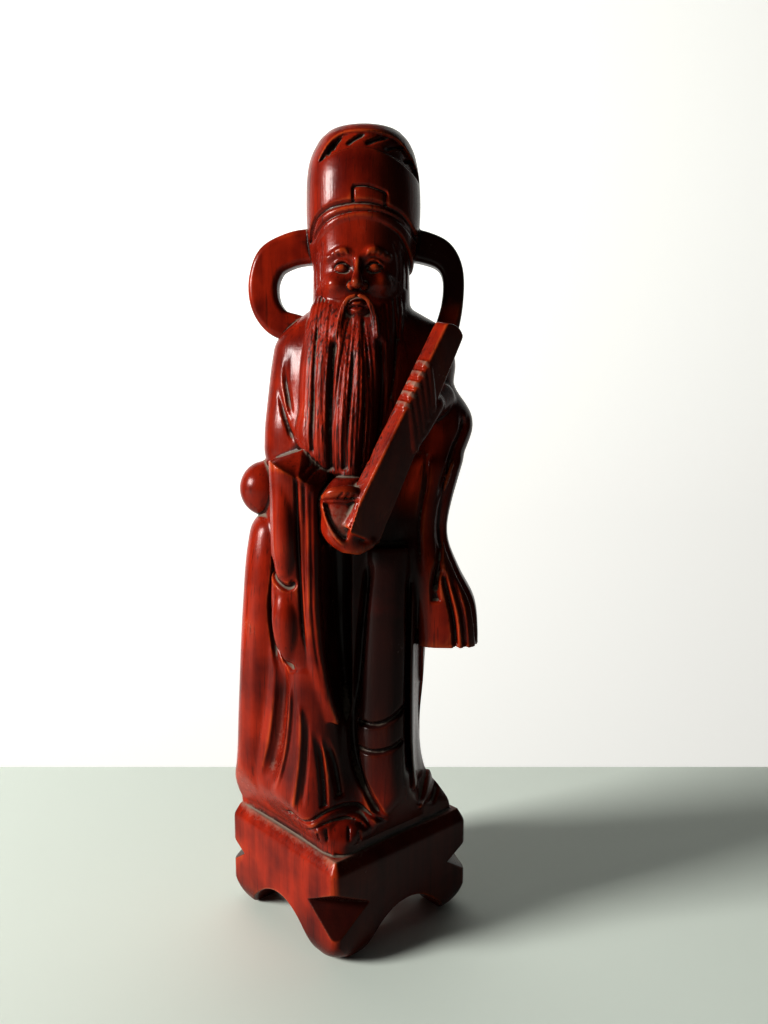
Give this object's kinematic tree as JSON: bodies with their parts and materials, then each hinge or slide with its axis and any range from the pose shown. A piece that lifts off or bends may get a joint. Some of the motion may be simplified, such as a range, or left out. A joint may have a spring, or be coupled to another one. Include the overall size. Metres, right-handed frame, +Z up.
{
  "type": "fuxing figure",
  "caption": "Carved wooden star god of good fortune, with long beard, looped hat wings and a tablet, on a notched base with feet.",
  "frame": {"origin": "middle of the bounding box, on the floor under the base", "axes": "+Z up; the figure and one corner of its base face -Y; +X is at the right of someone who looks at it"},
  "size_m": [0.0958, 0.092, 0.2968],
  "materials": {
    "red_lacquered_wood": "semi-gloss red-brown lacquer, near black in the recesses and worn to orange on the edges"
  },
  "bodies": {
    "root": {"carved_figure": "red_lacquered_wood"}
  },
  "joints": []
}
